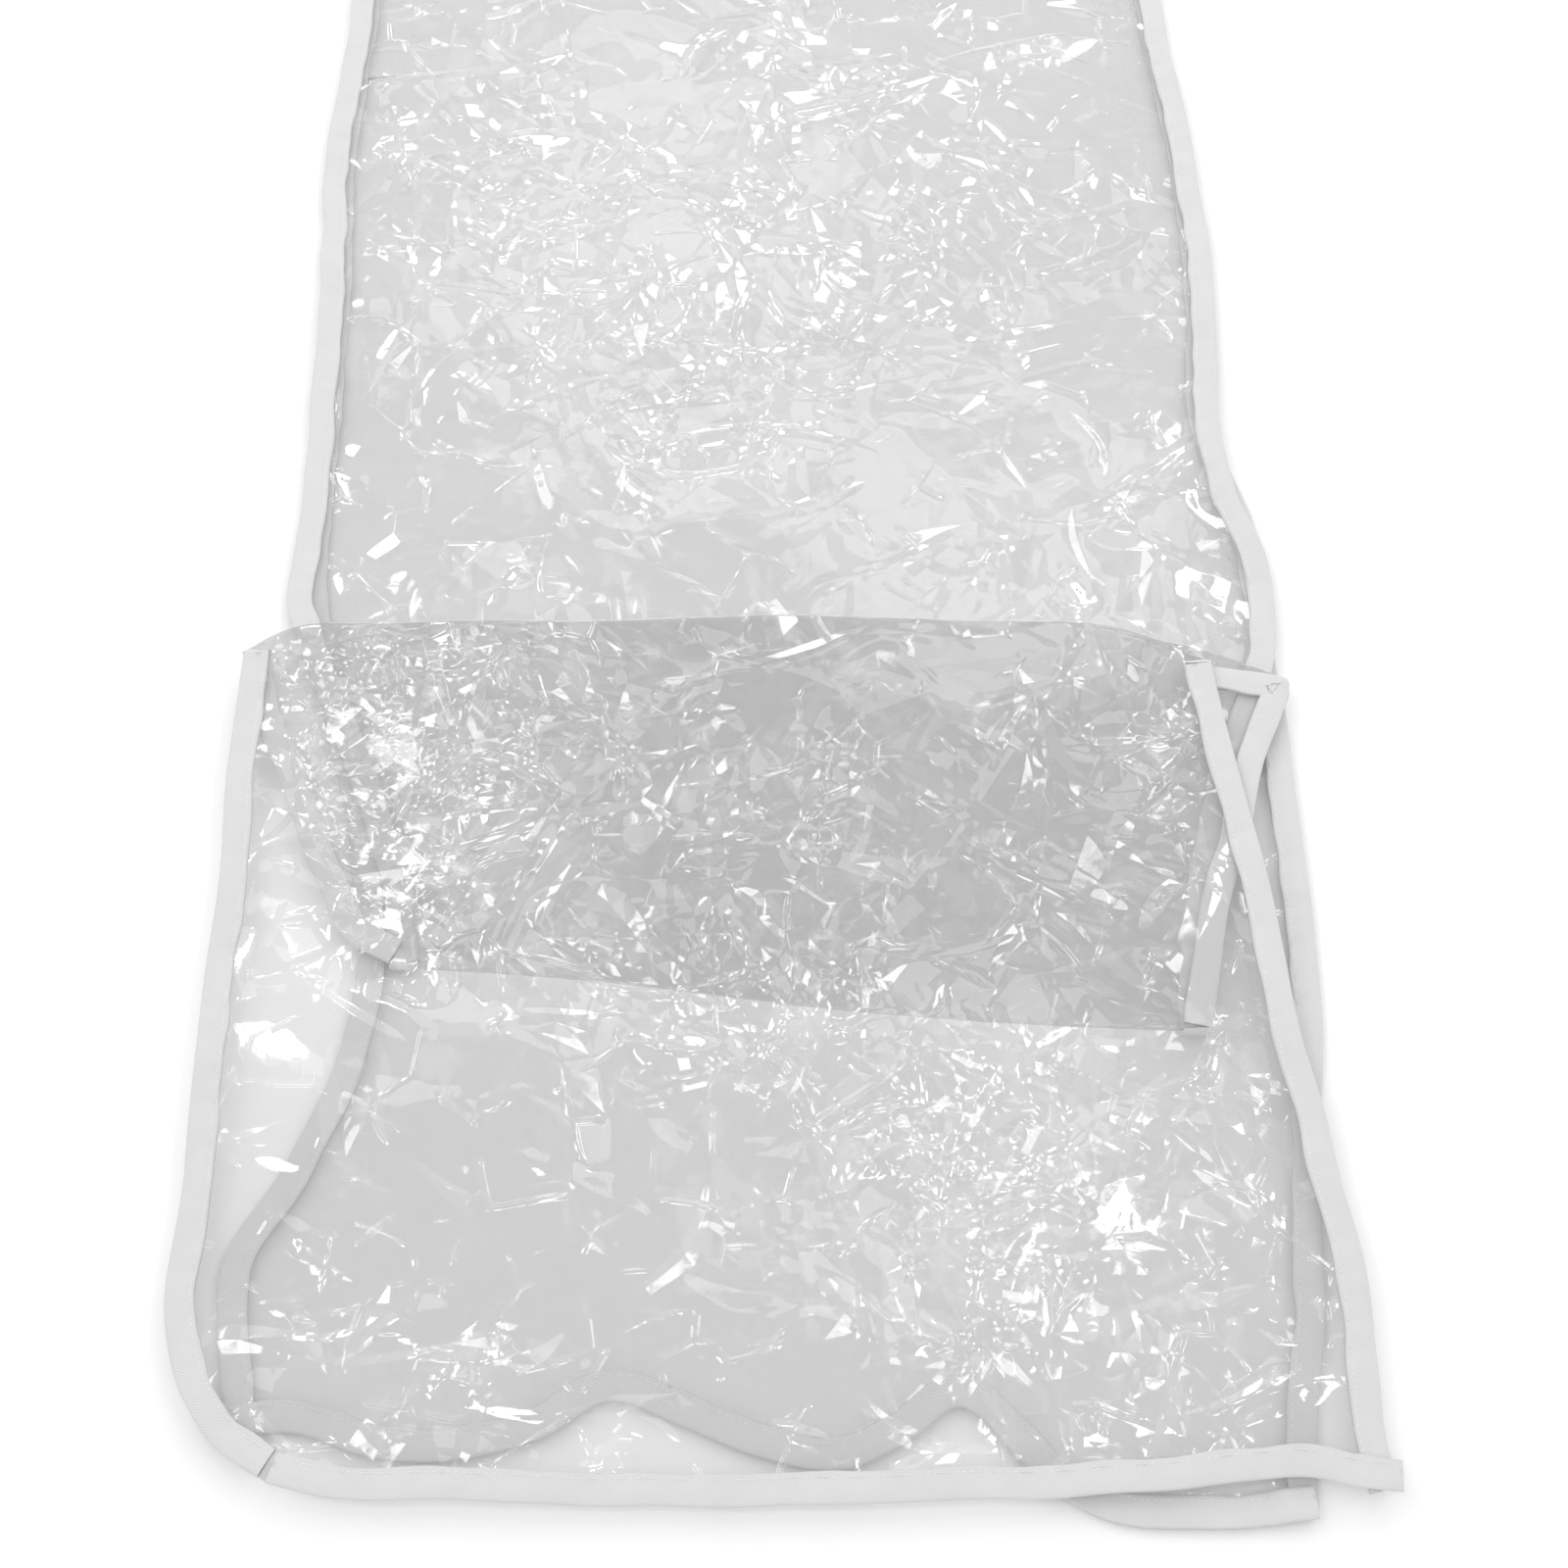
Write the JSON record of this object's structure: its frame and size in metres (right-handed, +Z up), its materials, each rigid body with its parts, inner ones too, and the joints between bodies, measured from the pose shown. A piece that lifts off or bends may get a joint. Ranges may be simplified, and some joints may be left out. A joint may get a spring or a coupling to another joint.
{
  "type": "barber cape",
  "caption": "Clear film salon cape bound in white twill tape, lying folded with its front panel tucked back on itself and a neck opening at the shoulder fold.",
  "frame": {"origin": "middle of the folded cape's footprint, on the surface it lies on", "axes": "+Y from the hems towards the shoulder fold, +Z up off the surface, +X to the right seen from the hems"},
  "size_m": [0.58, 1.1392, 0.0129],
  "materials": {
    "clear_film": "clear glossy soft PVC film, creased",
    "twill_tape": "matt white woven twill tape"
  },
  "bodies": {
    "cape_body": {"body_film": "clear_film", "back_hem_binding": "twill_tape", "neck_binding": "twill_tape", "body_left_binding": "twill_tape", "body_right_binding": "twill_tape"},
    "tuck": {"tuck_film": "clear_film", "tuck_left_binding": "twill_tape", "tuck_right_binding": "twill_tape"},
    "flap": {"flap_film": "clear_film", "front_hem_binding": "twill_tape", "flap_left_binding": "twill_tape", "flap_right_binding": "twill_tape"}
  },
  "joints": [
    {"name": "tuck_fold", "type": "hinge", "parent": "cape_body", "child": "tuck", "pos_m": [0, -0.29157, 0.00645], "axis": [1, 0, 0], "range_deg": [0, 180]},
    {"name": "flap_fold", "type": "hinge", "parent": "tuck", "child": "flap", "pos_m": [0, -0.06157, 0.00975], "axis": [1, 0, 0], "range_deg": [-180, 0]}
  ],
  "couplings": [
    {"joint": "flap_fold", "follows": "tuck_fold", "ratio": -1}
  ]
}
